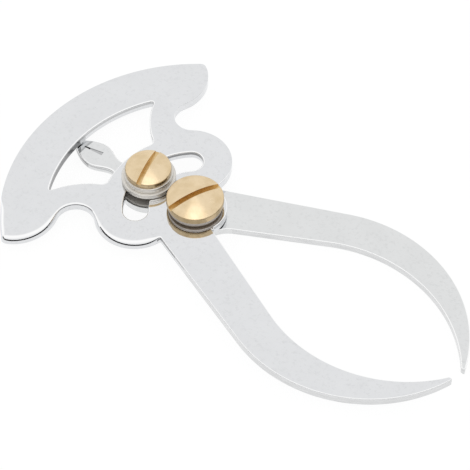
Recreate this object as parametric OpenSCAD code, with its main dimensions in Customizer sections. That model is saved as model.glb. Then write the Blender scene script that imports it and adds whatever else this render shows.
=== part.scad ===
// Thickness gauge: a scale plate that carries the fixed jaw, and a moving jaw whose tail is the pointer.
// The two flat pieces turn on a pivot screw, and a lock screw on the tail runs in an arc slot of the plate.
// Both screws end flush in the moving jaw, which is the lower piece and has its underside on z = 0.
// Millimetres. The pivot axis is Z, and +X runs to the jaw tips.

/* [Scale plate] */
// Thickness of the plate and its fixed jaw
plate_t = 1.4; // [1:0.1:2.4]
// Radius of the scale's outer edge from the pivot
scale_r = 29.05; // [27.5:0.05:31]
// Width of the scale band
scale_band = 6.75; // [5:0.05:7.6]
// Radius of the rounded end of the scale
scale_end_r = 6.6; // [5.8:0.1:7.2]
// Direction from the notch's centre to the scale end's centre, in degrees
scale_end_dir = 157.3; // [153:0.1:160]
// Radius of the notch between the scale and the lobe
notch_r = 2.85; // [2.2:0.05:3.2]
// Direction from the lobe's centre to the notch's centre, in degrees
notch_dir = 129.4; // [126:0.1:134]
// Radius of each lobe, about an end of the arc slot
lobe_r = 6.25; // [5.4:0.05:7]
// Radius of the plate round the pivot
plate_hub_r = 4.75; // [4.5:0.05:6]
// How far the scale's corners are softened
corner_soft = 0.7; // [0.3:0.1:1.2]

/* [Sector window] */
// Radius of the window's edge nearest the pivot
window_in_r = 14.1; // [13:0.1:15]
// Half angle of the window at that edge, in degrees
window_in_half = 22.5; // [18:0.5:24]
// Half angle of the window at the scale, in degrees
window_out_half = 32.5; // [28:0.5:34]
// Radius of the bowed sides of the window
window_side_r = 13; // [10:0.5:30]
// How far the window's corners are softened
window_soft = 0.9; // [0.4:0.1:1.2]

/* [Arc slot] */
// Radius of the slot's middle line from the pivot
slot_r = 8.9; // [8.6:0.05:9.4]
// Width of the slot
slot_w = 3.75; // [3.7:0.05:4.4]
// Angle from the plate's middle to each end of the slot's middle line, in degrees
slot_half = 44.6; // [40:0.2:48]

/* [Jaws] */
// Distance from the pivot to the jaw tips
reach = 47.35; // [44:0.05:52]
// Length of the flat at each tip where the jaws meet
tip_flat = 0.6; // [0.3:0.1:1.6]
// Radius of the bow of both jaws
bow_r = 21.5; // [20.5:0.1:23]
// Distance from the pivot to the fixed jaw's outer flank
fixed_outer = 7.3; // [6.8:0.05:7.8]
// Slope of the fixed jaw's outer flank, in degrees
fixed_outer_dir = 17.7; // [16.5:0.1:19.5]
// How far the fixed jaw's inner flank passes beyond the pivot
fixed_inner = 0.1; // [0:0.05:0.8]
// Slope of the fixed jaw's inner flank, in degrees
fixed_inner_dir = 20.8; // [19.5:0.1:22]
// Radius between the plate round the pivot and the fixed jaw
fixed_fillet = 0.2; // [0.1:0.1:3]
// Distance from the pivot to the moving jaw's outer flank
moving_outer = 5.45; // [5.1:0.05:6]
// Slope of the moving jaw's outer flank with the tips closed, in degrees
moving_outer_dir = 22.5; // [21:0.1:24]
// How far the moving jaw's inner flank passes beyond the pivot
moving_inner = 1.95; // [1.4:0.05:2.2]
// Slope of the moving jaw's inner flank with the tips closed, in degrees
moving_inner_dir = 26.5; // [25:0.1:28]
// Radius between the moving jaw's hub and its inner flank
moving_fillet = 5; // [2:0.5:8]
// Thickness of the moving jaw
jaw_t = 1.25; // [0.9:0.05:2.2]
// Radius of the moving jaw's hub
jaw_hub_r = 4.4; // [4.1:0.05:5]
// Angle that the jaws stand open, in degrees
rest_open = 4; // [0:0.5:12]

/* [Tail and pointer] */
// Angle of the tail short of straight behind the jaw, in degrees
tail_set = 1.3; // [0:0.1:3]
// Radius of the tail's disc round the lock screw
tail_r = 4.45; // [3.9:0.05:4.8]
// Width of the tail between the hub and that disc
tail_w = 5.6; // [4.6:0.1:7]
// Distance from the pivot to the narrowest part of the pointer's neck
neck_at = 15.3; // [14.8:0.1:16.2]
// Width of the neck
neck_w = 2.3; // [1.6:0.1:3]
// Distance from the pivot to the widest part of the pointer's leaf
leaf_at = 19.1; // [18:0.1:20]
// Width of the leaf
leaf_w = 4.5; // [3:0.1:5.4]
// How far the pointer's tip reaches over the scale band
pointer_lap = 1.6; // [0.5:0.1:3]
// Distance from the pivot to the outer end of the index mark cut in the leaf
index_at = 21.7; // [20.5:0.1:22]
// Length of the index mark, which widens towards the pivot
index_l = 3.2; // [1:0.1:4]
// Width of the index mark at its outer end
index_tip_w = 0.2; // [0.1:0.05:0.3]
// Width of the index mark at its inner end
index_w = 0.65; // [0.3:0.05:0.8]
// Angle between the index mark and the pointer, in degrees
index_turn = 9; // [0:1:12]
// Depth of the index mark
index_d = 0.25; // [0.1:0.05:0.4]

/* [Pivot] */
// Diameter of the pivot screw's shank
pivot_d = 5; // [4:0.1:5.6]
// Diameter of the pivot screw's head
pivot_head_d = 8.6; // [7.4:0.05:9]
// Height of the rim of the pivot screw's head
pivot_head_t = 1.1; // [0.8:0.05:1.6]
// Rise of the dome on the pivot screw's head
pivot_crown = 0.85; // [0.3:0.05:1.1]
// Width of the driver slot in the pivot screw's head
pivot_slot_w = 0.85; // [0.6:0.05:1.4]
// Depth of that driver slot at the middle
pivot_slot_d = 1.15; // [0.8:0.05:1.4]
// Direction of that driver slot, in degrees
pivot_slot_dir = 71; // [0:1:180]
// Diameter of the washer under the pivot screw's head
pivot_washer_d = 8.1; // [7.2:0.1:9]
// Thickness of that washer
pivot_washer_t = 1.15; // [0.6:0.05:1.6]

/* [Lock] */
// Diameter of the lock screw's shank
lock_d = 3.5; // [3:0.1:3.6]
// Diameter of the lock screw's head
lock_head_d = 6.95; // [6:0.05:7.4]
// Height of the rim of the lock screw's head
lock_head_t = 0.85; // [0.7:0.05:1.4]
// Rise of the dome on the lock screw's head
lock_crown = 0.65; // [0.2:0.05:0.8]
// Width of the driver slot in the lock screw's head
lock_slot_w = 0.75; // [0.5:0.05:1.2]
// Depth of that driver slot at the middle
lock_slot_d = 0.9; // [0.6:0.05:1]
// Direction of that driver slot, in degrees
lock_slot_dir = 107; // [0:1:180]
// Diameter of the upper washer under the lock screw's head
lock_upper_d = 7.4; // [6.4:0.1:7.8]
// Diameter of the lower washer, which lies on the plate
lock_lower_d = 8.2; // [6.4:0.1:8.4]
// Thickness of each of those washers
lock_washer_t = 0.9; // [0.6:0.05:1.4]

/* [Fits] */
// Thickness of the two spacers between the plate and the moving jaw
spacer_t = 0.25; // [0.1:0.05:0.6]
// Width of the ring of the pivot's spacer
spacer_ring = 1.2; // [0.8:0.1:1.8]
// How far the edge of the lock screw's spacer stays inside the tail's disc
spacer_inset = 0.25; // [0.15:0.05:0.6]
// Radial clearance of a shank in a hole that it turns in
run_clear = 0.05; // [0.02:0.01:0.1]
// Radial clearance of a shank in a washer
washer_clear = 0.15; // [0.1:0.01:0.25]
// Radial clearance of the pivot screw's thread in the moving jaw
thread_clear = 0.02; // [0.01:0.01:0.05]
// Bevel on the edges of heads and washers
bevel = 0.12; // [0.05:0.01:0.2]

/* [Hidden] */

// Longest straight step along a curved outline
curve_step = 0.9;
// Largest turn between two steps of a curved outline, in degrees
curve_turn = 6;
// Steps of each half of the leaf and of each softened corner
leaf_steps = 12;
soft_steps = 6;
// Power of the curve that closes the leaf to its point
leaf_power = 1.8;
// Angle that each jaw's root is carried back round the pivot, in degrees
root_turn = 35;
// How far a side or fillet starts inside the disc that it joins
join_inset = 0.1;
// Angle on the tail's disc where the sides of the neck start, in degrees
neck_root_dir = 25;
// Points nearer than this are one point
same_point = 0.001;
// How far a cut runs past the face it opens
past = 1;
round_fn = 96;

// Heights of the stack, from the moving jaw's underside
spacer_z = jaw_t;
plate_z = spacer_z + spacer_t;
plate_top = plate_z + plate_t;
pivot_head_z = plate_top + pivot_washer_t;
lock_upper_z = plate_top + lock_washer_t;
lock_head_z = lock_upper_z + lock_washer_t;

pivot_r = pivot_d / 2;
lock_r = lock_d / 2;
window_out_r = scale_r - scale_band;
pointer_end = window_out_r + pointer_lap;
lock_dir = 180 - tail_set;

// Plain geometry

function polar(r, a) = r * [cos(a), sin(a)];
function unit(v) = v / norm(v);
function heading(v) = atan2(v[1], v[0]);
function last(list) = list[len(list) - 1];
function reversed(list) = [for (i = [len(list) - 1 : -1 : 0]) list[i]];
function mirrored(list) = [for (p = reversed(list)) [p[0], -p[1]]];

// Points on an arc from angle a to angle b
function arc_count(r, turn) = ceil(max(abs(turn) * PI / 180 * r / curve_step, abs(turn) / curve_turn, 2));
function arc(c, r, a, b) =
    let (n = arc_count(r, b - a))
    [for (i = [0 : n]) c + polar(r, a + (b - a) * i / n)];

// The shorter arc of radius r from p to q that bows to the right of the line between them
function bowed(p, q, r) =
    let (half = norm(q - p) / 2)
    let (along = unit(q - p))
    let (left = [-along[1], along[0]])
    let (c = (p + q) / 2 + left * sqrt(r * r - half * half))
    let (a = heading(p - c))
    let (sweep = 2 * asin(half / r))
    arc(c, r, a, a + sweep);

// Curves joined end to end, without the points that they share
function chained(curves) =
    let (all = [for (c = curves) each c])
    [for (i = [0 : len(all) - 1]) if (i == 0 || norm(all[i] - all[max(i - 1, 0)]) > same_point) all[i]];

// A closed loop of curves that meet at corners, with corner i softened over the distance soft[i]
function trimmed(curve, first, final) =
    [for (p = curve) if (norm(p - curve[0]) > first && norm(p - last(curve)) > final) p];
function bend(before, corner, after, soft) =
    let (p = corner + soft * unit(before - corner))
    let (q = corner + soft * unit(after - corner))
    soft == 0 ? [corner] :
    [for (i = [0 : soft_steps])
        let (t = i / soft_steps)
        (1 - t) * (1 - t) * p + 2 * t * (1 - t) * corner + t * t * q];
function soft_loop(curves, soft) =
    let (n = len(curves))
    let (cut = [for (i = [0 : n - 1]) trimmed(curves[i], soft[(i + n - 1) % n], soft[i])])
    [for (i = [0 : n - 1]) each concat(
        cut[i],
        bend(last(cut[i]), last(curves[i]), cut[(i + 1) % n][0], soft[i]))];

// Scale plate's outline: lobe, notch and scale end are arcs that touch each other, on both sides

lobe_c = polar(slot_r, 180 - slot_half);
notch_c = lobe_c + polar(lobe_r + notch_r, notch_dir);
scale_end_c = notch_c + polar(notch_r + scale_end_r, scale_end_dir);
// Angle at the scale end's centre between the line from the pivot and the scale's corner
corner_open = acos((scale_r * scale_r - scale_end_c * scale_end_c - scale_end_r * scale_end_r)
                   / (2 * norm(scale_end_c) * scale_end_r));
corner_dir = heading(scale_end_c) - corner_open;
corner_at = heading(scale_end_c + polar(scale_end_r, corner_dir));
// The lobe's arc starts where the lobe points straight to the jaws
lobe_start = 0;

plate_side = chained([
    arc(lobe_c, lobe_r, lobe_start, notch_dir),
    arc(notch_c, notch_r, notch_dir + 180, scale_end_dir),
    arc(scale_end_c, scale_end_r, scale_end_dir - 180, corner_dir)]);
plate_root = lobe_c + polar(lobe_r, lobe_start);
scale_arc = arc([0, 0], scale_r, corner_at, 360 - corner_at);
root_line = [[plate_root[0], -plate_root[1]], [plate_root[0], 0], plate_root];

module plate_body() {
    polygon(soft_loop([plate_side, scale_arc, mirrored(plate_side), root_line],
                      [corner_soft, corner_soft, 0, 0]));
}

// Sector window in which the pointer shows

window_in = polar(window_in_r, 180 - window_in_half);
window_out = polar(window_out_r, 180 - window_out_half);
window_side = bowed(window_out, window_in, window_side_r);

module window() {
    polygon(soft_loop([arc([0, 0], window_out_r, 180 + window_out_half, 180 - window_out_half),
                       window_side,
                       arc([0, 0], window_in_r, 180 - window_in_half, 180 + window_in_half),
                       mirrored(window_side)],
                      [window_soft, window_soft, window_soft, window_soft]));
}

// Jaws, drawn on the +Y side with the tips closed on the X axis

// Centre of a bow of radius r that carries on a straight flank and ends at the tip
function bow_centre(flank, dir, r, tip) =
    let (along = polar(1, dir))
    let (base = polar(flank - r, dir + 90))
    let (e = base - tip)
    let (b = e * along)
    base + along * (-b - sqrt(b * b - e * e + r * r));
function bow(flank, dir, r, tip) =
    let (c = bow_centre(flank, dir, r, tip))
    arc(c, r, dir + 90, heading(tip - c));
// Fillet of radius f from a hub of radius hub into a flank that passes beyond the pivot
function hub_fillet(hub, beyond, dir, f) =
    let (across = beyond + f)
    let (c = polar(across, dir - 90) + polar(sqrt((hub + f) * (hub + f) - across * across), dir))
    arc(c, f, heading(-c), dir + 90);

module jaw(outer, outer_dir, inner, inner_dir, hub, fillet) {
    polygon(chained([
        [[0, 0]],
        hub_fillet(hub - join_inset, inner, inner_dir, fillet),
        bow(-inner, inner_dir, bow_r, [reach - tip_flat, 0]),
        reversed(bow(outer, outer_dir, bow_r, [reach, 0])),
        arc([0, 0], outer, outer_dir + 90, outer_dir + 90 + root_turn)]));
}

// Tail, drawn along +X from the pivot

neck_root = [slot_r, 0] + polar(tail_r - join_inset, neck_root_dir);
leaf_back = [for (i = [0 : leaf_steps])
    let (t = i / leaf_steps)
    [neck_at + (leaf_at - neck_at) * t, neck_w / 2 + (leaf_w - neck_w) / 2 * (1 - cos(180 * t)) / 2]];
leaf_front = [for (i = [1 : leaf_steps - 1])
    let (t = i / leaf_steps)
    [leaf_at + (pointer_end - leaf_at) * t, leaf_w / 2 * (1 - pow(t, leaf_power))]];
pointer_side = concat([neck_root], leaf_back, leaf_front);

module tail() {
    translate([0, -tail_w / 2, 0])
        cube([slot_r, tail_w, jaw_t]);
    translate([slot_r, 0, 0])
        cylinder(r = tail_r, h = jaw_t, $fn = round_fn);
    linear_extrude(jaw_t)
        polygon(concat(mirrored(pointer_side), pointer_side, [[pointer_end, 0]]));
}

// Small turned pieces

module ring(outer_d, bore_r, t) {
    rotate_extrude($fn = round_fn)
        polygon([[bore_r, 0], [outer_d / 2 - bevel, 0], [outer_d / 2, bevel], [outer_d / 2, t - bevel],
                 [outer_d / 2 - bevel, t], [bore_r, t]]);
}

// Screw standing on z = 0 with its head from head_z: a turned rim, a domed top and a driver slot
module slotted_screw(shank_r, head_z, head_d, head_t, crown, slot_width, slot_depth, slot_dir) {
    dome_r = (head_d * head_d / 4 + crown * crown) / (2 * crown);
    cylinder(r = shank_r, h = head_z, $fn = round_fn);
    translate([0, 0, head_z])
        difference() {
            intersection() {
                ring(head_d, 0, head_t + crown + bevel);
                translate([0, 0, head_t + crown - dome_r])
                    sphere(r = dome_r, $fn = round_fn);
            }
            rotate([0, 0, slot_dir])
                translate([-head_d, -slot_width / 2, head_t + crown - slot_depth])
                    cube([2 * head_d, slot_width, slot_depth + past]);
        }
}

// Holes through a flat piece that stands on z = 0
module bore(r, t) {
    translate([0, 0, -past])
        cylinder(r = r, h = t + 2 * past, $fn = round_fn);
}

module arc_slot(t) {
    first = 180 - slot_half;
    final = 180 + slot_half;
    translate([0, 0, -past])
        linear_extrude(t + 2 * past)
            polygon(chained([
                arc([0, 0], slot_r + slot_w / 2, first, final),
                arc(polar(slot_r, final), slot_w / 2, final, final + 180),
                arc([0, 0], slot_r - slot_w / 2, final, first),
                arc(polar(slot_r, first), slot_w / 2, first + 180, first + 360)]));
}

module index_mark() {
    translate([index_at, 0, jaw_t - index_d])
        rotate([0, 0, index_turn])
            linear_extrude(index_d + past)
                polygon([[0, -index_tip_w / 2], [0, index_tip_w / 2],
                         [-index_l, index_w / 2], [-index_l, -index_w / 2]]);
}

// Place of whatever the moving jaw carries at the lock screw
module at_lock(z) {
    rotate([0, 0, rest_open + lock_dir])
        translate([slot_r, 0, z])
            rotate([0, 0, -rest_open - lock_dir])
                children();
}

// Sub-parts

module scale_plate() {
    color([0.87, 0.88, 0.89])
        translate([0, 0, plate_z])
            difference() {
                union() {
                    linear_extrude(plate_t)
                        difference() {
                            plate_body();
                            window();
                        }
                    cylinder(r = plate_hub_r, h = plate_t, $fn = round_fn);
                    linear_extrude(plate_t)
                        mirror([0, 1])
                            jaw(fixed_outer, fixed_outer_dir, fixed_inner, fixed_inner_dir,
                                plate_hub_r, fixed_fillet);
                }
                bore(pivot_r + run_clear, plate_t);
                arc_slot(plate_t);
            }
}

module moving_jaw() {
    color([0.82, 0.83, 0.85])
        rotate([0, 0, rest_open])
            difference() {
                union() {
                    cylinder(r = jaw_hub_r, h = jaw_t, $fn = round_fn);
                    linear_extrude(jaw_t)
                        jaw(moving_outer, moving_outer_dir, moving_inner, moving_inner_dir,
                            jaw_hub_r, moving_fillet);
                    rotate([0, 0, lock_dir])
                        tail();
                }
                bore(pivot_r + thread_clear, jaw_t);
                rotate([0, 0, lock_dir]) {
                    translate([slot_r, 0, 0])
                        bore(lock_r + run_clear, jaw_t);
                    index_mark();
                }
            }
}

module pivot_screw() {
    color([0.87, 0.73, 0.42])
        slotted_screw(pivot_r, pivot_head_z, pivot_head_d, pivot_head_t, pivot_crown,
                      pivot_slot_w, pivot_slot_d, pivot_slot_dir);
}

module pivot_washer() {
    color([0.66, 0.66, 0.66])
        translate([0, 0, plate_top])
            ring(pivot_washer_d, pivot_r + washer_clear, pivot_washer_t);
}

module pivot_spacer() {
    color([0.7, 0.7, 0.7])
        translate([0, 0, spacer_z])
            ring(2 * (pivot_r + washer_clear + spacer_ring), pivot_r + washer_clear, spacer_t);
}

module lock_screw() {
    color([0.87, 0.73, 0.42])
        at_lock(0)
            slotted_screw(lock_r, lock_head_z, lock_head_d, lock_head_t, lock_crown,
                          lock_slot_w, lock_slot_d, lock_slot_dir);
}

module lock_washer_upper() {
    color([0.78, 0.78, 0.78])
        at_lock(lock_upper_z)
            ring(lock_upper_d, lock_r + washer_clear, lock_washer_t);
}

module lock_washer_lower() {
    color([0.74, 0.74, 0.74])
        at_lock(plate_top)
            ring(lock_lower_d, lock_r + washer_clear, lock_washer_t);
}

module lock_spacer() {
    color([0.7, 0.7, 0.7])
        at_lock(spacer_z)
            ring(2 * (tail_r - spacer_inset), lock_r + washer_clear, spacer_t);
}

scale_plate();
moving_jaw();
pivot_screw();
pivot_washer();
pivot_spacer();
lock_screw();
lock_washer_upper();
lock_washer_lower();
lock_spacer();
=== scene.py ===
import math

import bmesh
import bpy
import numpy as np
from mathutils import Matrix, Vector, geometry


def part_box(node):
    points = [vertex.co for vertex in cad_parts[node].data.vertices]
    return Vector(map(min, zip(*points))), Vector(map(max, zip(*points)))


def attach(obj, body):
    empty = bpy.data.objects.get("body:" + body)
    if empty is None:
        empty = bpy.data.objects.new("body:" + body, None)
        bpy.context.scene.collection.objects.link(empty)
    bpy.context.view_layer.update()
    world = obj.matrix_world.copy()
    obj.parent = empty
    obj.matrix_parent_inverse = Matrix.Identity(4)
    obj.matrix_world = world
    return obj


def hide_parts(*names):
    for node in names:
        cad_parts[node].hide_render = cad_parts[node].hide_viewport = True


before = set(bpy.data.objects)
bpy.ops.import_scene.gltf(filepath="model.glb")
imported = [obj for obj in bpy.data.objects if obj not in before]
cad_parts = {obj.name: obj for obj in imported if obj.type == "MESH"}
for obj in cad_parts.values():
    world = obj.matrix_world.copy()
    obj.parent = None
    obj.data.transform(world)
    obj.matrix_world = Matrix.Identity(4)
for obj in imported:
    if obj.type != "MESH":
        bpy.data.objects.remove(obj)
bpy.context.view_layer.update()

scene = bpy.context.scene
MM = 0.001


# Helpers for objects and meshes

def put(name, data):
    """A new object in the scene."""
    obj = bpy.data.objects.new(name, data)
    scene.collection.objects.link(obj)
    return obj


def new_mesh(name, verts, faces, *materials):
    """A mesh from points in metres."""
    mesh = bpy.data.meshes.new(name)
    mesh.from_pydata(verts, [], faces)
    mesh.validate()
    for m in materials:
        mesh.materials.append(m)
    return mesh


def metres(points):
    return [(x * MM, y * MM, z * MM) for x, y, z in points]


# Camera, at the photograph's angle. Its place is in mm, and its clipping in metres

AZIMUTH, ELEVATION = math.radians(40.35), math.radians(52.0)
CAM_DISTANCE, CAM_RIGHT, CAM_UP = 280.0, 5.90, -4.20
FOCAL_PX, FRAME_PX, SENSOR = 1884.0, 470.0, 36.0
CLIP_START, CLIP_END = 0.01, 10.0
PLATE_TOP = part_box("scale_plate")[1].z / MM

toward = Vector((math.sin(AZIMUTH), -math.cos(AZIMUTH), 0))
right = Vector((math.cos(AZIMUTH), math.sin(AZIMUTH), 0))
back = Vector((math.sin(AZIMUTH) * math.cos(ELEVATION),
               -math.cos(AZIMUTH) * math.cos(ELEVATION),
               math.sin(ELEVATION)))
up = back.cross(right)
target = Vector((0, 0, PLATE_TOP)) + right * CAM_RIGHT + up * CAM_UP
cam_data = bpy.data.cameras.new("camera")
cam_data.sensor_width = SENSOR
cam_data.lens = FOCAL_PX * SENSOR / FRAME_PX
cam_data.clip_start, cam_data.clip_end = CLIP_START, CLIP_END
camera = put("camera", cam_data)
camera.matrix_world = (Matrix.Translation((target + back * CAM_DISTANCE) * MM)
                       @ back.to_track_quat("Z", "Y").to_matrix().to_4x4())
scene.camera = camera


# Helpers for materials

NOISE_LOW, NOISE_HIGH = 0.3, 0.7
BLACK, WHITE = (0, 0, 0), (1, 1, 1)


def node(tree, kind, feeds=(), **values):
    """A new node. A value whose name starts with an underscore sets an input, any other a property. feeds
    gives the outputs that its inputs are linked to."""
    n = tree.nodes.new(kind)
    for k, v in values.items():
        if k.startswith("_"):
            n.inputs[k[1:].replace("_", " ")].default_value = v
        else:
            setattr(n, k, v)
    for name, source in dict(feeds).items():
        tree.links.new(source, n.inputs[name])
    return n


def toned(tone, share):
    """A colour times a share, or times one for each of red, green and blue."""
    return tuple(np.multiply(tone, share))


class Look:
    """A material in the making. Each method but feed adds nodes and gives back their output."""

    def __init__(self, name, **inputs):
        self.material = bpy.data.materials.new(name)
        self.material.use_nodes = True
        self.tree = self.material.node_tree
        self.shader = self.tree.nodes["Principled BSDF"]
        for k, v in inputs.items():
            self.shader.inputs[k.replace("_", " ")].default_value = v

    def feed(self, **sources):
        """Links outputs to the shader's inputs."""
        for k, v in sources.items():
            self.tree.links.new(v, self.shader.inputs[k.replace("_", " ")])

    def place(self, scale=(1, 1, 1), turn=0.0, shift=(0, 0, 0)):
        """Object coordinates, stretched, turned about Z and shifted."""
        spot = node(self.tree, "ShaderNodeTexCoord").outputs["Object"]
        return node(self.tree, "ShaderNodeMapping", {"Vector": spot},
                    _Scale=scale, _Rotation=(0, 0, turn), _Location=shift).outputs["Vector"]

    def noise(self, where, scale, detail=3.0, rough=0.55):
        return node(self.tree, "ShaderNodeTexNoise", {"Vector": where},
                    _Scale=scale, _Detail=detail, _Roughness=rough).outputs["Fac"]

    def ramp(self, fac, *stops):
        """Two stops of (position, colour)."""
        n = node(self.tree, "ShaderNodeValToRGB", {"Fac": fac})
        for stop, (position, colour) in zip(n.color_ramp.elements, stops):
            stop.position = position
            stop.color = (*colour, 1)
        return n.outputs["Color"]

    def spread(self, fac, low, high):
        """A noise's usual range spread from low to high."""
        return node(self.tree, "ShaderNodeMapRange", {"Value": fac},
                    _From_Min=NOISE_LOW, _From_Max=NOISE_HIGH, _To_Min=low, _To_Max=high).outputs["Result"]

    def over(self, fac, under, colour):
        """A colour laid over another output."""
        return node(self.tree, "ShaderNodeMix", {"Factor": fac, "A": under},
                    data_type="RGBA", _B=(*colour, 1)).outputs["Result"]

    def bump(self, height, strength, distance, before=None):
        """Bump on the shader's normal, on top of an earlier one if that is given. The distance is in mm."""
        feeds = {"Height": height}
        if before is not None:
            feeds["Normal"] = before
        normal = node(self.tree, "ShaderNodeBump", feeds,
                      _Strength=strength, _Distance=distance * MM).outputs["Normal"]
        self.feed(Normal=normal)
        return normal


# Materials

# Painted highlight: the pale tone laid over rounded edges, and the mesh attribute that holds its share
HIGHLIGHT_ATTR, HIGHLIGHT_TONE = "polish", (0.97, 0.97, 0.97)
GRAIN = (1, 14, 1)
HAZE_TONE, PIT_TONE, STEEL_LOW_TONE = 0.975, 0.90, 0.90
MILLED_LINES, WASHER_LINES = (1, 1, 18), (1, 1, 12)
RING_SCALE, ACROSS_RINGS = 830.0, 0.25


def plated(name, tone, grain_turn, shift):
    """Bright plated sheet: a near mirror with a faint rolled grain, small pits and handling haze, with a
    painted highlight: a paler tone along the rounded edges, as strong as the mesh's highlight share."""
    look = Look(name, Metallic=1.0)
    flat = look.place(shift=shift)
    haze = look.noise(flat, scale=260.0, detail=4.0)
    pits = look.noise(flat, scale=1900.0, rough=0.7)
    fine = look.noise(look.place(scale=GRAIN, turn=grain_turn, shift=shift), scale=900.0)
    base = look.ramp(haze, (0.30, toned(tone, HAZE_TONE)), (0.62, tone))
    pitted = look.over(look.ramp(pits, (0.52, BLACK), (0.74, WHITE)), base, toned(tone, PIT_TONE))
    # Painted highlight: the mesh's share lays the pale tone over the rounded edges
    polish = node(look.tree, "ShaderNodeAttribute", attribute_name=HIGHLIGHT_ATTR).outputs["Fac"]
    look.feed(Base_Color=look.over(polish, pitted, HIGHLIGHT_TONE), Roughness=look.spread(haze, 0.075, 0.045))
    grained = look.bump(fine, strength=0.02, distance=0.02)
    look.bump(pits, strength=0.04, distance=0.03, before=grained)
    return look.material


def turned_brass(name, tone, tarnish, rough, aniso):
    """Turned brass: tool rings about the axis, which draw the highlight into a wedge, and some tarnish."""
    look = Look(name, Metallic=1.0, Anisotropic=aniso, Anisotropic_Rotation=ACROSS_RINGS)
    flat = look.place()
    rings = node(look.tree, "ShaderNodeTexWave", {"Vector": flat}, wave_type="RINGS", rings_direction="Z",
                 _Scale=RING_SCALE, _Distortion=1.0, _Detail=2.0).outputs["Fac"]
    blot = look.noise(flat, scale=420.0)
    worn = look.noise(flat, scale=2200.0)
    tangent = node(look.tree, "ShaderNodeTangent", direction_type="RADIAL", axis="Z")
    look.feed(Tangent=tangent.outputs["Tangent"],
              Base_Color=look.ramp(blot, (0.30, toned(tone, tarnish)), (0.60, tone)),
              Roughness=look.spread(worn, *rough))
    look.bump(rings, strength=0.04, distance=0.02)
    return look.material


def milled_brass(name, tone, tarnish, rough):
    """Milled brass: satin, with fine scratches."""
    look = Look(name, Metallic=1.0)
    blot = look.noise(look.place(), scale=600.0, detail=4.0)
    lines = look.noise(look.place(scale=MILLED_LINES), scale=700.0)
    look.feed(Base_Color=look.ramp(blot, (0.30, toned(tone, tarnish)), (0.60, tone)),
              Roughness=look.spread(lines, *rough))
    look.bump(lines, strength=0.08, distance=0.02)
    return look.material


def lined_steel(name, tone, metallic, rough):
    """Punched or sheared steel: satin, with fine lines round its edge and a little staining."""
    look = Look(name, Metallic=metallic)
    lines = look.noise(look.place(scale=WASHER_LINES), scale=420.0)
    blot = look.noise(look.place(), scale=800.0, detail=4.0)
    look.feed(Base_Color=look.ramp(lines, (0.35, toned(tone, STEEL_LOW_TONE)), (0.62, tone)),
              Roughness=look.spread(blot, *rough))
    look.bump(lines, strength=0.04, distance=0.03)
    return look.material


def filled_ink(name, low, high):
    """Dark filling of engraved marks, a little uneven."""
    look = Look(name, Roughness=0.55)
    blot = look.noise(look.place(), scale=1500.0)
    look.feed(Base_Color=look.ramp(blot, (NOISE_LOW, low), (NOISE_HIGH, high)))
    look.bump(blot, strength=0.1, distance=0.01)
    return look.material


mat_plate = plated("plated_sheet_plate", (0.755, 0.763, 0.776), 0.4, (0.0, 0.0, 0.0))
mat_jaw = plated("plated_sheet_jaw", (0.742, 0.750, 0.752), -0.5, (0.031, 0.017, 0.0))
# Painted shade in the index groove: the plating in a darker tone
mat_groove_shade = plated("plated_sheet_groove_shade", (0.50, 0.505, 0.51), 0.0, (0.013, 0.029, 0.0))
mat_dull = lined_steel("dulled_edge", (0.735, 0.74, 0.745), 1.0, (0.12, 0.20))
# Painted shade on walls: a grey and a dark steel tone that stand in for the shade the walls reflect
mat_wall_shade = lined_steel("wall_painted_shade", (0.56, 0.565, 0.57), 1.0, (0.20, 0.30))
mat_wall_deep_shade = lined_steel("wall_painted_deep_shade", (0.27, 0.272, 0.275), 1.0, (0.20, 0.30))
mat_ink = filled_ink("mark_filling", (0.012, 0.012, 0.014), (0.035, 0.035, 0.038))
mat_dome = turned_brass("brass_turned", (0.82, 0.66, 0.44), (0.86, 0.83, 0.76), (0.27, 0.34), 0.85)
# Painted shade on the heads' rims: the same turned brass in a darker tone
mat_rim_shade = turned_brass("brass_rim_painted_shade", (0.56, 0.43, 0.26), (0.80, 0.78, 0.72), (0.14, 0.24), 0.0)
# Painted shade in the slots: a darker, deeper gold
mat_slot_shade = milled_brass("brass_milled_slot_shade", (0.72, 0.53, 0.28), (0.82, 0.76, 0.66), (0.22, 0.36))
mat_spacer = lined_steel("steel_spacer", (0.60, 0.58, 0.54), 0.3, (0.50, 0.65))
mat_washer_dark = lined_steel("steel_washer_dull", (0.48, 0.44, 0.40), 0.9, (0.26, 0.38))
# Painted shade at the washers' feet: a dark brown band
mat_washer_foot_shade = lined_steel("steel_washer_foot_shade", (0.19, 0.14, 0.095), 0.5, (0.40, 0.55))
mat_washer_pale = lined_steel("steel_washer_bright", (0.76, 0.735, 0.69), 0.8, (0.30, 0.44))


# Outlines of the flat pieces, in mm

SAME_PLACE, FACES_UP = 1e-6, 0.9
# Corners that turn by more degrees than this are cut, by at most a share of the steps beside them
SHARP_TURN, CORNER_ROUND, CORNER_SHARE, CORNER_POINTS = 24.0, 0.22, 0.4, 6
LONGEST_STEP, STRAIGHT_FROM = 0.45, 2.2
# Shares of a wanted rounding are tried from the least one up, each only where the one before it fits
LEAST_SHARE, SHARE_TRIES, SHARE_GAP = 0.08, 24, 0.05
CLEAR_SHARE, TURN_SHARE, LEAST_TURN, GROWTH = 0.96, 0.85, 1e-3, 0.45


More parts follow.
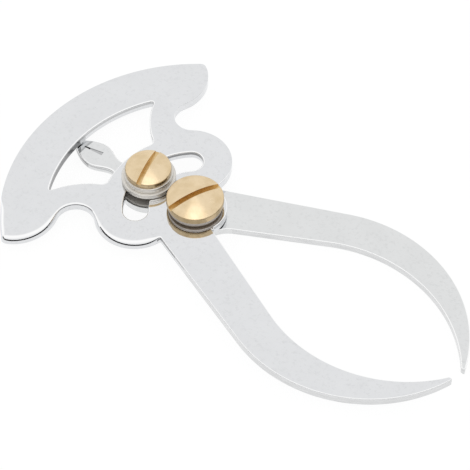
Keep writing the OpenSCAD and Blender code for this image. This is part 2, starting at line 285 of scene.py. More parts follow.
def outlines(cad_node):
    """Closed outlines of a flat node's upper face, each with the metal on its left, and its two heights."""
    bm = bmesh.new()
    bm.from_mesh(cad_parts[cad_node].data)
    bmesh.ops.remove_doubles(bm, verts=bm.verts, dist=SAME_PLACE)
    top = max(v.co.z for v in bm.verts)
    low = min(v.co.z for v in bm.verts)
    steps = set()
    for f in bm.faces:
        if f.normal.z > FACES_UP and all(abs(v.co.z - top) < SAME_PLACE for v in f.verts):
            ring = [v.index for v in f.verts]
            steps.update(zip(ring, ring[1:] + ring[:1]))
    after = {i: j for i, j in steps if (j, i) not in steps}
    co = {v.index: (v.co.x / MM, v.co.y / MM) for v in bm.verts}
    bm.free()
    loops = []
    while after:
        ring, at = [], min(after)
        while at in after:
            ring.append(co[at])
            at = after.pop(at)
        loops.append(np.array(ring))
    return loops, low / MM, top / MM


def directions(p):
    """Unit directions of the outline's steps, from each point to the next."""
    d = np.roll(p, -1, 0) - p
    return d / np.linalg.norm(d, axis=1)[:, None]


def turns(p):
    """Degrees that the outline turns to the left at each point."""
    d = directions(p)
    before = np.roll(d, 1, 0)
    return np.degrees(np.arctan2(before[:, 0] * d[:, 1] - before[:, 1] * d[:, 0], (before * d).sum(1)))


def inward(p):
    """Unit directions from each outline point into the metal."""
    d = directions(p)
    m = d + np.roll(d, 1, 0)
    m /= np.linalg.norm(m, axis=1)[:, None]
    return np.stack([-m[:, 1], m[:, 0]], 1)


def arc_points(before, corner, after, cut, count):
    """Points of a small arc that starts and ends a given length from a corner."""
    start = corner + (before - corner) / np.linalg.norm(before - corner) * cut
    end = corner + (after - corner) / np.linalg.norm(after - corner) * cut
    return [(1 - s) ** 2 * start + 2 * s * (1 - s) * corner + s * s * end for s in np.linspace(0, 1, count)]


def eased(p):
    """The outline with each sharp corner cut to a small arc."""
    out = []
    for i, turn in enumerate(turns(p)):
        before, corner, after = p[i - 1], p[i], p[(i + 1) % len(p)]
        if abs(turn) < SHARP_TURN:
            out.append(corner)
            continue
        room = CORNER_SHARE * min(np.linalg.norm(before - corner), np.linalg.norm(after - corner))
        cut = min(CORNER_ROUND * math.tan(math.radians(abs(turn) / 2)), room)
        out += arc_points(before, corner, after, cut, CORNER_POINTS)
    return np.array(out)


def refined(p):
    """The outline with long steps split, on a smooth curve through its points. The longest stay straight."""
    out = []
    n = len(p)
    for i in range(n):
        p0, p1, p2, p3 = p[i - 1], p[i], p[(i + 1) % n], p[(i + 2) % n]
        length = np.linalg.norm(p2 - p1)
        m1, m2 = (p2 - p0) / 2, (p3 - p1) / 2
        for m in (m1, m2):
            m *= min(1.0, length / np.linalg.norm(m))
        count = max(1, math.ceil(length / LONGEST_STEP))
        for s in np.arange(count) / count:
            if length > STRAIGHT_FROM:
                out.append(p1 + (p2 - p1) * s)
            else:
                out.append((2 * s**3 - 3 * s**2 + 1) * p1 + (s**3 - 2 * s**2 + s) * m1
                           + (-2 * s**3 + 3 * s**2) * p2 + (s**3 - s**2) * m2)
    return np.array(out)


def gap_to(points, rings):
    """Distance from each point to the nearest outline."""
    start = np.concatenate(rings)
    d = np.concatenate([np.roll(r, -1, 0) for r in rings]) - start
    off = points[:, None] - start[None]
    t = np.clip((off * d).sum(2) / (d * d).sum(1), 0, 1)
    return np.linalg.norm(off - t[..., None] * d, axis=2).min(1)


def along_gap(p):
    """Lengths along a closed outline between each two of its points, and the mean step at each point."""
    step = np.linalg.norm(np.roll(p, -1, 0) - p, axis=1)
    s = np.concatenate([[0], np.cumsum(step)])
    gap = np.abs(s[:-1, None] - s[None, :-1])
    return np.minimum(gap, s[-1] - gap), (step + np.roll(step, 1)) / 2


def smoothed(v, p, reach):
    """Values averaged along the outline over a length."""
    gap, step = along_gap(p)
    w = np.exp(-((gap / reach) ** 2)) * step[None]
    return (w * v[None]).sum(1) / w.sum(1)


def allowed(p, n, want, rings):
    """The rounding that fits at each point: it stays short of the metal's middle, turns no corner inside out
    and grows gently along the outline."""
    fit = np.full(len(p), LEAST_SHARE)
    for share in np.linspace(LEAST_SHARE, 1.0, SHARE_TRIES):
        d = want * share
        clear = gap_to(p + n * d[:, None], rings) > d * CLEAR_SHARE
        fit = np.where(clear & (fit >= share - SHARE_GAP), share, fit)
    r = want * fit
    gap, step = along_gap(p)
    turn = np.radians(turns(p))
    r = np.where(turn > LEAST_TURN, np.minimum(r, TURN_SHARE * step / np.maximum(turn, LEAST_TURN)), r)
    return (r[None] + GROWTH * gap).min(1)


# Rounded edges of a tumbled stamping. The profiles are for a rounding that reaches 1 in from the wall

EDGE_TURNS = (0, 9, 18, 26, 30, 33, 36, 40, 50, 60, 70, 80, 90)
SLOW_FROM, SLOW_TO, EDGE_SLOW = 26, 40, 3.5
# Share of painted highlight at each of these turns, on a small rounding and on a well tumbled one
EDGE_HIGHLIGHT = np.array(((0, 0, 0, 0, 0, 0.5, 1, 1, 1, 1, 1, 0.8, 0),
                        (0, 0, 0, 0, 0, 0, 0.6, 1, 1, 1, 0.3, 0, 0)))
# Top roundings, in mm, at which the painted highlight starts and is full
HIGHLIGHT_FROM, HIGHLIGHT_FULL = 0.06, 0.15
TUMBLED_FROM, TUMBLED_FULL = 0.20, 0.40
LOW_STEPS, WALL_SPLIT, ROUND_REACH = 9, 0.6, 0.4


def edge_profile(drawn_out):
    """Rounded edge from its foot up: how far in and how far below the top each step is, and its normal's
    level and upright parts. Part of the lower half can be drawn out, as on a well tumbled edge."""
    rows = [(0.0, 0.0, 0.0)]
    for start, end in zip(EDGE_TURNS, EDGE_TURNS[1:]):
        slow = drawn_out if SLOW_FROM <= start and end <= SLOW_TO else 1.0
        t0, t1 = math.radians(start), math.radians(end)
        inset, rise, _ = rows[-1]
        inset += slow * (math.cos(t0) - math.cos(t1))
        rise += slow * (math.sin(t1) - math.sin(t0))
        rows.append((inset, rise, t1))
    reach, height, _ = rows[-1]
    return [(i / reach, (height - h) / reach, math.cos(t), math.sin(t)) for i, h, t in rows]


EDGES = np.array((edge_profile(1.0), edge_profile(EDGE_SLOW)))


def edge_rows(low_r, top_r, z_low, z_top):
    """Steps of an edge from the lower face up to the upper one, for the two roundings at each outline point:
    how far in, how high, the normal's level and upright parts, and the share of painted highlight."""
    zero = np.zeros_like(low_r)
    rows = []
    for k in range(LOW_STEPS + 1):
        t = math.pi / 2 * (1 - k / LOW_STEPS)
        inset, z = low_r * (1 - math.cos(t)), z_low + low_r * (1 - math.sin(t))
        rows.append((inset, z, math.cos(t), -math.sin(t), zero))
    tumbled = np.clip((top_r - TUMBLED_FROM) / (TUMBLED_FULL - TUMBLED_FROM), 0, 1)
    blend = np.stack((1 - tumbled, tumbled))
    # Painted highlight on the upper rounding, more on a larger one
    highlighted = np.clip((top_r - HIGHLIGHT_FROM) / (HIGHLIGHT_FULL - HIGHLIGHT_FROM), 0, 1)
    wall_low, wall_high = z_low + low_r, z_top - top_r * (EDGES[:, 0, 1] @ blend)
    rows.append((zero, wall_low + (wall_high - wall_low) * WALL_SPLIT, 1.0, 0.0, zero))
    for k, (_, _, level, rise) in enumerate(EDGES[0]):
        inset, drop = EDGES[:, k, :2].T @ blend
        polish = highlighted * (EDGE_HIGHLIGHT[:, k] @ blend)
        rows.append((top_r * inset, z_top - top_r * drop, level, rise, polish))
    return rows


# Flat pieces: the imported outline, rebuilt with rounded edges

# Tints of faces. The two wall shade tints are painted shade, grey and dark, and the groove's is painted
# shade in the recess
BRIGHT, DULL, WALL_SHADE, WALL_DEEP_SHADE, INK, GROOVE_SHADE = range(6)
TINTS = mat_dull, mat_wall_shade, mat_wall_deep_shade, mat_ink, mat_groove_shade
MARK_CORNERS, INDEX_DEPTH, INDEX_FILLED = 6, 0.1, 0.3
MERGE = 1e-7


class Shell:
    """A mesh in the making, in mm: points with their normals and shares of painted highlight, and faces with
    their tints.
    """

    def __init__(self):
        self.verts, self.normals, self.polish = [], [], []
        self.faces, self.tints = [], []

    def points(self, verts, normals, polish=None):
        """Adds points and gives back their numbers."""
        first = len(self.verts)
        self.verts += verts
        self.normals += normals
        self.polish += [0.0] * len(verts) if polish is None else list(polish)
        return range(first, len(self.verts))

    def face(self, ids, tint=BRIGHT):
        self.faces.append(tuple(ids))
        self.tints.append(tint)


def add_edge(shell, p, rows, wall):
    """Adds the edge along an outline and gives back its lower and upper rim. wall gives the tints at each
    point of the lower and upper wall between the roundings."""
    n = inward(p)
    rings = []
    for inset, z, level, rise, polish in rows:
        verts = [(x, y, h) for (x, y), h in zip(p + n * inset[:, None], z)]
        rings.append(shell.points(verts, [(-x * level, -y * level, rise) for x, y in n], polish))
    plain = np.full(len(p), BRIGHT)
    wall_steps = dict(zip((LOW_STEPS, LOW_STEPS + 1), wall))
    for k, (lo, hi) in enumerate(zip(rings, rings[1:])):
        for i, tint in enumerate(wall_steps.get(k, plain)):
            j = (i + 1) % len(p)
            shell.face((lo[i], lo[j], hi[j], hi[i]), tint)
    return rings[0], rings[-1]


def add_mark(shell, g, z_top, depth):
    """Adds the floor and walls of a groove in the upper face, inked at one end and with painted shade, a
    darker plate tone, on the rest, and gives back its rim.
    """
    rim = shell.points([(x, y, z_top) for x, y in g], [(0, 0, 1)] * len(g))
    g = np.roll(g, -int(np.argmin(np.linalg.norm(np.roll(g, -1, 0) - g, axis=1))), 0)
    z_floor = z_top - depth
    cut = g[1] + (g[2] - g[1]) * INDEX_FILLED, g[0] + (g[3] - g[0]) * INDEX_FILLED
    parts = [([(*q, z_floor) for q in (g[0], g[1], *cut)], INK),
             ([(*q, z_floor) for q in (*cut[::-1], g[2], g[3])], GROOVE_SHADE)]
    for i, j, mid in ((0, 1, None), (1, 2, cut[0]), (2, 3, None), (3, 0, cut[1])):
        wall = [(*g[i], z_floor), (*g[i], z_top), (*g[j], z_top), (*g[j], z_floor)]
        fan = [wall] if mid is None else [[(*mid, z_floor), *ends] for ends in zip(wall, wall[1:])]
        parts += [(corners, GROOVE_SHADE) for corners in fan]
    inside = np.array((*g.mean(0), z_top))
    for corners, tint in parts:
        corners = np.array(corners)
        normal = np.cross(corners[1] - corners[0], corners[2] - corners[0])
        normal /= np.linalg.norm(normal)
        if normal @ (inside - corners.mean(0)) < 0:
            normal, corners = -normal, corners[::-1]
        shell.face(shell.points([tuple(c) for c in corners], [tuple(normal)] * len(corners)), tint)
    return rim


def fill_face(shell, rims, z, rise):
    """Fills a flat face between its rims. rise is 1 where the face looks up and -1 where it looks down."""
    ids = [i for rim in rims for i in rim]
    pts = [Vector(shell.verts[i][:2]) for i in ids]
    edges, at = [], 0
    for rim in rims:
        edges += [(at + i, at + (i + 1) % len(rim)) for i in range(len(rim))]
        at += len(rim)
    out_v, _, out_f, origins, _, _ = geometry.delaunay_2d_cdt(pts, edges, [], 0, MERGE)
    known = {i: ids[origin[0]] for i, origin in enumerate(origins) if origin}
    (x0, y0), (x1, y1) = np.array([(pts[i], pts[j]) for i, j in edges], float).transpose(1, 2, 0)
    for f in out_f:
        c = sum((np.array(out_v[i]) for i in f), np.zeros(2)) / len(f)
        cross = (y0 > c[1]) != (y1 > c[1])
        x = x0 + (c[1] - y0) / np.where(cross, y1 - y0, 1) * (x1 - x0)
        if (cross & (x > c[0])).sum() % 2 == 0:
            continue
        for i in f:
            if i not in known:
                known[i] = shell.points([(*out_v[i], z)], [(0, 0, rise)])[0]
        tri = [known[i] for i in f]
        (ax, ay), (bx, by), (cx, cy) = (shell.verts[i][:2] for i in tri)
        left = (bx - ax) * (cy - ay) - (by - ay) * (cx - ax) > 0
        shell.face(tri if left == (rise > 0) else tri[::-1])


def flat_piece(name, cad_node, top_round, low_round, wall_tint, material, groove_depth=0.0):
    """A flat node rebuilt with rounded edges. top_round gives the radius wanted at each point of the upper
    edge, low_round is the one of the lower edge, and wall_tint gives the tints of the lower and upper wall
    between them."""
    loops, z_low, z_top = outlines(cad_node)
    grooves = [p for p in loops if len(p) <= MARK_CORNERS]
    low_xy, high_xy = (np.array(c[:2]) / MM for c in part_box(cad_node))
    rings = [np.clip(refined(eased(p)), low_xy, high_xy) for p in loops if len(p) > MARK_CORNERS]
    shell = Shell()
    low_rims, top_rims = [], []
    for p in rings:
        fitted = [allowed(p, inward(p), want, rings + grooves)
                  for want in (np.full(len(p), low_round), top_round(p))]
        low_r, top_r = (np.minimum(r, smoothed(r, p, ROUND_REACH)) for r in fitted)
        low_rim, top_rim = add_edge(shell, p, edge_rows(low_r, top_r, z_low, z_top), wall_tint(p))
        low_rims.append(low_rim)
        top_rims.append(top_rim)
    top_rims += [add_mark(shell, g, z_top, groove_depth) for g in grooves]
    fill_face(shell, top_rims, z_top, 1)
    fill_face(shell, low_rims, z_low, -1)
    mesh = new_mesh(name, metres(shell.verts), shell.faces, material, *TINTS)
    mesh.update()
    mesh.shade_smooth()
    mesh.normals_split_custom_set_from_vertices(shell.normals)
    mesh.polygons.foreach_set("material_index", shell.tints)
    # Each point's share of painted highlight, read by the sheet's material
    mesh.attributes.new(HIGHLIGHT_ATTR, "FLOAT", "POINT").data.foreach_set("value", shell.polish)
    return put(name, mesh)


# The plate and the moving jaw

# Spans across Y that only the plate's outer edge exceeds, or only that and its window
OUTER_SPAN, WINDOW_SPAN = 40, 18
SCALE_ROUND, NOTCH_ROUND, FAR_ROUND, FIXED_JAW_ROUND = 0.87, 0.40, 0.06, 0.14
WINDOW_ROUND, HOLE_ROUND = 0.20, 0.22
NOTCH_BEND, SCALE_RADIUS, SCALE_FOOT_Y = -0.5, 27.5, -18.5
# Where along X the fixed jaw starts, the painted shade on its root's wall turns from dark to grey, and the
# walls of both jaws turn plain
JAW_FROM, JAW_GREY, JAW_PLAIN = -0.4, 3.5, 6.0
POINTER_Y = -1.4
# Where along X the pointer's tip, its leaf, the whole pointer and the tail end
TIP_X, LEAF_X, POINTER_X, TAIL_X = -19.3, -17.5, -13.5, -4.0
LEAF_ROUND, NECK_ROUND, TAIL_ROUND, MOVING_JAW_ROUND = 0.16, 0.30, 0.07, 0.15
PLATE_LOW_ROUND, JAW_LOW_ROUND = 0.08, 0.18
CHANGE_REACH = 0.8


def plate_top_round(p):
    """Rounding of the plate's upper edge: full on the scale and lobes, less in the notches and the jaw."""
    span = np.ptp(p[:, 1])
    if span < OUTER_SPAN:
        return np.full(len(p), WINDOW_ROUND if span > WINDOW_SPAN else HOLE_ROUND)
    x, y = p.T
    bend = smoothed(turns(p), p, CHANGE_REACH)
    r = np.where(bend < NOTCH_BEND, NOTCH_ROUND, SCALE_ROUND)
    r = np.where(y > 0, FAR_ROUND, r)
    r = np.where((np.linalg.norm(p, axis=1) > SCALE_RADIUS) & (y > SCALE_FOOT_Y), FAR_ROUND, r)
    r = np.where(x > JAW_FROM, FIXED_JAW_ROUND, r)
    return smoothed(r, p, CHANGE_REACH)


def jaw_top_round(p):
    """Rounding of the moving jaw's upper edge: least on the tail's disc and most on the pointer's neck."""
    x = p[:, 0]
    r = np.select((x < LEAF_X, x < POINTER_X, x < TAIL_X),
                  (LEAF_ROUND, NECK_ROUND, TAIL_ROUND), MOVING_JAW_ROUND)
    return smoothed(r, p, CHANGE_REACH)


def plate_wall(p):
    """Walls of the plate's openings carry painted shade on their upper part, grey in the window and dark in
    the other openings, and dark painted shade over the whole wall below the pointer. The fixed jaw's are a
    little dull, with painted shade on the upper wall by the lobe, dark and then grey."""
    x, y = p.T
    span = np.ptp(y)
    if span > OUTER_SPAN:
        outer = np.where(x > JAW_PLAIN, DULL, BRIGHT)
        root = (x > JAW_FROM) & (x < JAW_PLAIN) & (y < 0)
        # Painted shade on the upper wall of the jaw's root: dark, then grey
        return outer, np.where(root, np.where(x < JAW_GREY, WALL_DEEP_SHADE, WALL_SHADE), outer)
    if span < WINDOW_SPAN:
        # Dark painted shade on the upper wall of the smaller openings
        return np.full(len(p), BRIGHT), np.full(len(p), WALL_DEEP_SHADE)
    # Painted shade on the window's wall: dark all over below the pointer, grey on the upper part elsewhere
    below = y < POINTER_Y
    return np.where(below, WALL_DEEP_SHADE, BRIGHT), np.where(below, WALL_DEEP_SHADE, WALL_SHADE)


def jaw_wall(p):
    """Walls of the moving jaw are slightly dull past the hub; on the pointer their upper part carries grey
    painted shade, and at its tip the whole wall does, with dark painted shade at the top.
    """
    x = p[:, 0]
    plain = np.where(x > JAW_PLAIN, DULL, BRIGHT)
    upper = np.where(x < POINTER_X, WALL_SHADE, plain)
    return np.where(x < TIP_X, WALL_SHADE, plain), np.where(x < TIP_X, WALL_DEEP_SHADE, upper)


plate = flat_piece("scale_plate_sheet", "scale_plate",
                   plate_top_round, PLATE_LOW_ROUND, plate_wall, mat_plate)
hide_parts("scale_plate")
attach(plate, "plate")

jaw = flat_piece("moving_jaw_sheet", "moving_jaw",
                 jaw_top_round, JAW_LOW_ROUND, jaw_wall, mat_jaw, INDEX_DEPTH)
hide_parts("moving_jaw")
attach(jaw, "jaw")


# Scale on the plate's underside, which the pointer's tip runs along

ZERO_DIR, DEG_PER_MM, SCALE_MM = 178.7, 1.227, 30
TICK_IN, TICK_W = 24.3, 0.14
TICK_END, TICK_END_FIVE, TICK_END_TEN = 25.2, 25.7, 26.3
NUMBER_R, NUMBER_SIZE, NUMBER_CURVE = 27.35, 1.5, 4
MARK_DEEP, MARK_PROUD = 0.03, 0.008
PLATE_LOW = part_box("scale_plate")[0].z / MM


def under_place(direction, r):
    """Place on the underside, in mm: x along the scale, y outward and z down, so it reads from below."""
    t = math.radians(direction)
    out = Vector((math.cos(t), math.sin(t), 0))
    turn = Matrix((Vector((-out.y, out.x, 0)), out, Vector((0, 0, -1)))).transposed()
    return Matrix.Translation(out * r + Vector((0, 0, PLATE_LOW))) @ turn.to_4x4()


def numeral(text):
    """Vertices in mm and faces of a plain number, centred on the origin."""
    curve = bpy.data.curves.new("numeral", "FONT")
    curve.body = text
    curve.size = NUMBER_SIZE
    curve.align_x, curve.align_y = "CENTER", "CENTER"
    curve.extrude = (MARK_DEEP + MARK_PROUD) / 2
    curve.resolution_u = NUMBER_CURVE
    obj = put("numeral", curve)
    bpy.context.view_layer.update()
    mesh = bpy.data.meshes.new_from_object(obj.evaluated_get(bpy.context.evaluated_depsgraph_get()))
    verts = [v.co + Vector((0, 0, (MARK_PROUD - MARK_DEEP) / 2)) for v in mesh.vertices]
    faces = [tuple(f.vertices) for f in mesh.polygons]
    bpy.data.objects.remove(obj)
    bpy.data.curves.remove(curve)
    bpy.data.meshes.remove(mesh)
    return verts, faces


def tick(length):
    """Vertices in mm and faces of one tick that starts at the origin and runs outward."""
    w = TICK_W / 2
    ends = [(-w, 0), (w, 0), (w, length), (-w, length)]
    verts = [Vector((x, y, z)) for z in (-MARK_DEEP, MARK_PROUD) for x, y in ends]
    return verts, [(3, 2, 1, 0), (4, 5, 6, 7)] + [(i, (i + 1) % 4, (i + 1) % 4 + 4, i + 4) for i in range(4)]


mark_verts, mark_faces = [], []
for mm in range(-SCALE_MM, SCALE_MM + 1):
    end = TICK_END_TEN if mm % 10 == 0 else TICK_END_FIVE if mm % 5 == 0 else TICK_END
    made = [(tick(end - TICK_IN), TICK_IN)]
    if mm % 10 == 0:
        made.append((numeral(str(abs(mm))), NUMBER_R))
    for (verts, faces), r in made:
        spot = under_place(ZERO_DIR + mm * DEG_PER_MM, r)
        mark_faces += [tuple(i + len(mark_verts) for i in f) for f in faces]
        mark_verts += [spot @ v * MM for v in verts]
marks = put("scale_marks", new_mesh("scale_marks", mark_verts, mark_faces, mat_ink))
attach(marks, "plate")


# Turned pieces, in mm

HEAD_SEGMENTS, SCREW_CREASE, SHANK_CHAMFER, HEAD_CHAMFER = 144, 32, 0.25, 0.12
DOME_TRIES, EASE_POINTS, DOME_POINTS, RIM_SHARE = 20, 9, 16, 0.75
SLOT_CLEAR, SLOT_REACH = 2.0, 4
WASHER_SEGMENTS, WASHER_CREASE, WASHER_EASE, EASE_SHARE, WASHER_POINTS = 128, 40, 0.10, 0.45, 4
LINE_DEPTH = 0.05
ON_AXIS = 1e-6


def lathe(name, profile, centre, segments, material, closed=False):
    """Turns a profile of (radius, height) about the vertical through centre. A closed one makes a ring."""
    verts, faces, rows = [], [], []
    for r, z in profile:
        first = len(verts)
        if r < ON_AXIS:
            verts.append((0, 0, z))
        else:
            angles = [2 * math.pi * i / segments for i in range(segments)]
            verts += [(r * math.cos(t), r * math.sin(t), z) for t in angles]
        rows.append(range(first, len(verts)))
    for lo, hi in zip(rows, rows[1:] + rows[:1] if closed else rows[1:]):
        for i in range(segments):
            j = (i + 1) % segments
            if len(lo) == 1:
                faces.append((lo[0], hi[j], hi[i]))
            elif len(hi) == 1:
                faces.append((lo[i], lo[j], hi[0]))
            else:
                faces.append((lo[i], lo[j], hi[j], hi[i]))
    obj = put(name, new_mesh(name, metres(verts), faces, material))
    obj.location = (centre[0] * MM, centre[1] * MM, 0)
    return obj


def tint_below(obj, z, material):
    """Gives another material to the faces that lie wholly below a height."""
    obj.data.materials.append(material)
    for f in obj.data.polygons:
        f.material_index = 1 if max(obj.data.vertices[v].co.z for v in f.vertices) < z * MM else 0


def smooth_by_angle(obj, degrees):
    obj.data.shade_smooth()
    obj.data.set_sharp_from_angle(angle=math.radians(degrees))


def centre_of(cad_node):
    lo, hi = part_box(cad_node)
    return ((lo.x + hi.x) / 2 / MM, (lo.y + hi.y) / 2 / MM)


def cut_slot(obj, centre, length, width, depth, direction, top):
    """Mills a slot across a screw's head."""
    bm = bmesh.new()
    bmesh.ops.create_cube(bm, size=1.0)
    cutter_mesh = bpy.data.meshes.new("cutter")
    bm.to_mesh(cutter_mesh)
    bm.free()
    # The slot's faces take the darker brass of painted shade
    cutter_mesh.materials.append(mat_slot_shade)
    cutter = put("cutter", cutter_mesh)
    tall = depth + SLOT_CLEAR
    cutter.scale = (length * MM, width * MM, tall * MM)
    cutter.rotation_euler = (0, 0, math.radians(direction))
    cutter.location = (centre[0] * MM, centre[1] * MM, (top - depth + tall / 2) * MM)
    cut = obj.modifiers.new("slot", "BOOLEAN")
    cut.operation = "DIFFERENCE"
    cut.solver = "EXACT"
    cut.material_mode = "TRANSFER"
    cut.object = cutter
    bpy.context.view_layer.update()
    done = bpy.data.meshes.new_from_object(obj.evaluated_get(bpy.context.evaluated_depsgraph_get()))
    obj.modifiers.clear()
    obj.data = done
    done.name = obj.name
    bpy.data.objects.remove(cutter)


def slotted_screw(name, cad_node, body, head_z, shank_r, crown, ease, slot_w, slot_d, slot_dir):
    """Slotted screw with a turned rim, a domed top and a milled slot, in the place of its CAD node."""
    lo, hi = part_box(cad_node)
    centre = centre_of(cad_node)
    head_r = (hi.x - lo.x) / 2 / MM
    z0, z1 = lo.z / MM, hi.z / MM
    dome_r = (head_r**2 + crown**2) / (2 * crown)

    def dome_z(r):
        return z1 - dome_r + math.sqrt(dome_r**2 - r * r)

    # The dome ends where it runs smoothly into the eased edge
    end_r = head_r
    for _ in range(DOME_TRIES):
        slope = math.asin(end_r / dome_r)
        end_r = head_r - ease * (1 - math.sin(slope))
    ease_z = dome_z(end_r) - ease * math.cos(slope)
    profile = [(0, z0), (shank_r - SHANK_CHAMFER, z0), (shank_r, z0 + SHANK_CHAMFER), (shank_r, head_z),
               (head_r - HEAD_CHAMFER, head_z), (head_r, head_z + HEAD_CHAMFER)]
    for t in np.linspace(0, math.pi / 2 - slope, EASE_POINTS):
        profile.append((head_r - ease * (1 - math.cos(t)), ease_z + ease * math.sin(t)))
    profile += [(r, dome_z(r)) for r in end_r * (1 - np.linspace(0, 1, DOME_POINTS)[1:])]
    obj = lathe(name, profile, centre, HEAD_SEGMENTS, mat_dome)
    # Painted shade: the rim below the eased edge takes the darker brass
    tint_below(obj, ease_z + RIM_SHARE * ease, mat_rim_shade)
    cut_slot(obj, centre, head_r * SLOT_REACH, slot_w, slot_d, slot_dir, z1)
    smooth_by_angle(obj, SCREW_CREASE)
    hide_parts(cad_node)
    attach(obj, body)
    return obj


def rounded(points):
    """A washer's profile with each corner between its ends cut to a small arc."""
    pts = [np.array(p, float) for p in points]
    out = [pts[0]]
    for before, corner, after in zip(pts, pts[1:], pts[2:]):
        room = EASE_SHARE * min(np.linalg.norm(before - corner), np.linalg.norm(after - corner))
        out += arc_points(before, corner, after, min(WASHER_EASE, room), WASHER_POINTS)
    return out + [pts[-1]]


def washer(name, cad_node, body, material, bore_r, low_round, lines, foot_shade=0.0):
    """Washer with eased edges, rounder below. lines are the heights, as shares of its thickness, of fine
    lines round its edge, and the last argument is the height of a band of dark painted shade at its foot."""
    lo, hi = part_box(cad_node)
    z0, z1 = lo.z / MM, hi.z / MM
    r = (hi.x - lo.x) / 2 / MM
    wall = [(r, z0)] + ([(r, z0 + foot_shade)] if foot_shade else [])
    for share in lines:
        z = z0 + share * (z1 - z0)
        wall += [(r, z - LINE_DEPTH), (r - LINE_DEPTH, z), (r, z + LINE_DEPTH)]
    profile = []
    for w, z in rounded([(bore_r, z0), *wall, (r, z1), (bore_r, z1)]):
        below = max(z0 + low_round - z, 0)
        profile.append((min(w, r - low_round + math.sqrt(max(low_round**2 - below**2, 0))), z))
    obj = lathe(name, profile, centre_of(cad_node), WASHER_SEGMENTS, material, closed=True)
    # Painted shade: the band at the washer's foot takes the dark brown tone
    tint_below(obj, z0 + foot_shade, mat_washer_foot_shade)
    smooth_by_angle(obj, WASHER_CREASE)
    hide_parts(cad_node)
    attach(obj, body)
    return obj


screws = [
    slotted_screw("pivot_screw_turned", "pivot_screw", "jaw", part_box("pivot_washer")[1].z / MM,
                  shank_r=2.5, crown=0.85, ease=0.3, slot_w=0.85, slot_d=1.15, slot_dir=71),
    slotted_screw("lock_screw_turned", "lock_screw", "lock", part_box("lock_washer_upper")[1].z / MM,
                  shank_r=1.75, crown=0.65, ease=0.25, slot_w=0.75, slot_d=0.9, slot_dir=107),
]
washers = [
    washer("pivot_washer_punched", "pivot_washer", "plate", mat_washer_dark,
           bore_r=2.65, low_round=0.30, lines=(0.62, 0.80), foot_shade=0.48),
    washer("lock_washer_upper_punched", "lock_washer_upper", "jaw", mat_washer_pale,
           bore_r=1.9, low_round=0.12, lines=(0.5,)),
    washer("lock_washer_lower_punched", "lock_washer_lower", "jaw", mat_washer_pale,
           bore_r=1.9, low_round=0.20, lines=(0.55,), foot_shade=0.12),
]
for name in ("pivot_spacer", "lock_spacer"):
    for material_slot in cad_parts[name].material_slots:
        material_slot.material = mat_spacer


# Floor and backdrop, in metres

WORLD_LIGHT, WORLD_SEEN = 0.6, 1.0
FLOOR_LIGHT, FLOOR_SOFT, FLOOR_GLOW = 0.8, 0.22, 0.88
FLOOR_HALF, FLOOR_Z = 1.5, -0.00002


def grey(level):
    return (level, level, level, 1)


def white_seen(tree, shaded, white):
    """The white shader for rays from the camera and from metal, and the shaded one for the rest."""
    path = node(tree, "ShaderNodeLightPath").outputs
    seen = path["Is Camera Ray"]
    for other in ("Is Glossy Ray", "Is Transmission Ray"):
        seen = node(tree, "ShaderNodeMath", {0: seen, 1: path[other]}, operation="MAXIMUM").outputs[0]
    return node(tree, "ShaderNodeMixShader", {"Fac": seen, 1: shaded, 2: white}).outputs["Shader"]


world = bpy.data.worlds.new("studio")
scene.world = world
world.use_nodes = True
tree = world.node_tree
tree.nodes.clear()
shaded = node(tree, "ShaderNodeBackground", _Color=grey(1), _Strength=WORLD_LIGHT).outputs[0]
white = node(tree, "ShaderNodeBackground", _Color=grey(1), _Strength=WORLD_SEEN).outputs[0]
node(tree, "ShaderNodeOutputWorld", {"Surface": white_seen(tree, shaded, white)})

floor_mat = bpy.data.materials.new("pale_floor")
floor_mat.use_nodes = True
tree = floor_mat.node_tree
tree.nodes.clear()
diffuse = node(tree, "ShaderNodeBsdfDiffuse", _Color=grey(FLOOR_LIGHT)).outputs[0]
soft = node(tree, "ShaderNodeBsdfDiffuse", _Color=grey(FLOOR_SOFT)).outputs[0]
glow = node(tree, "ShaderNodeEmission", _Color=grey(1), _Strength=FLOOR_GLOW).outputs[0]
both = node(tree, "ShaderNodeAddShader", {0: soft, 1: glow}).outputs[0]
node(tree, "ShaderNodeOutputMaterial", {"Surface": white_seen(tree, diffuse, both)})

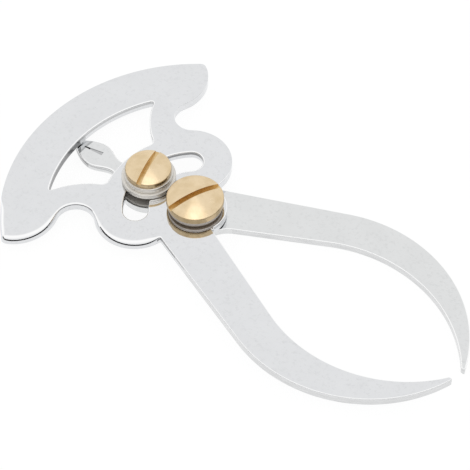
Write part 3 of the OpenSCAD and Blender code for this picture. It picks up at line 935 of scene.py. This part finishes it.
corners = [(x * FLOOR_HALF, y * FLOOR_HALF, 0) for x, y in ((-1, -1), (1, -1), (1, 1), (-1, 1))]
floor = put("floor", new_mesh("floor", corners, [(0, 1, 2, 3)], floor_mat))
floor.location = (0, 0, FLOOR_Z)


# Low dark card in front, which is seen only in reflections and gives the dark lines along the rounded edges

CARD_FAR, CARD_LOW, CARD_HIGH, CARD_SPREAD, CARD_STEPS = 0.40, 0.001, 0.075, 95.0, 40

dark_mat = Look("dark_card", Base_Color=(0.02, 0.02, 0.022, 1), Roughness=1.0).material
turn = AZIMUTH + np.radians(np.linspace(-CARD_SPREAD, CARD_SPREAD, CARD_STEPS + 1))
around = np.stack([np.sin(turn), -np.cos(turn)], 1) * CARD_FAR
card_verts = [(x, y, z) for z in (CARD_LOW, CARD_HIGH) for x, y in around]
card_faces = [(i, i + 1, i + CARD_STEPS + 2, i + CARD_STEPS + 1) for i in range(CARD_STEPS)]
flag = put("dark_card", new_mesh("dark_card", card_verts, card_faces, dark_mat))
flag.visible_camera = False
flag.visible_shadow = False
flag.visible_diffuse = False


# Lamps, each for some of the pieces. The sheets are lit by the white surroundings alone

def softbox(name, size, ahead, height, radiance, pieces):
    """An area lamp of a given radiance that looks at the origin and lights just these pieces."""
    lamp = bpy.data.lights.new(name, "AREA")
    lamp.shape = "RECTANGLE"
    lamp.size, lamp.size_y = size
    lamp.energy = radiance * math.pi * size[0] * size[1]
    obj = put(name, lamp)
    obj.location = toward * ahead + Vector((0, 0, height))
    obj.rotation_euler = obj.location.to_track_quat("Z", "Y").to_euler()
    group = bpy.data.collections.new(name + "_pieces")
    for piece in pieces:
        group.objects.link(piece)
    for entry in group.collection_objects:
        entry.light_linking.link_state = "INCLUDE"
    obj.light_linking.receiver_collection = group


softbox("overhead", (0.36, 0.5), ahead=0.10, height=0.62, radiance=0.8, pieces=screws)
softbox("high", (0.7, 0.23), ahead=0.22, height=0.60, radiance=0.7, pieces=washers)
softbox("front", (0.9, 0.35), ahead=0.62, height=0.42, radiance=0.8, pieces=screws + washers)

scene.view_settings.view_transform = "Standard"
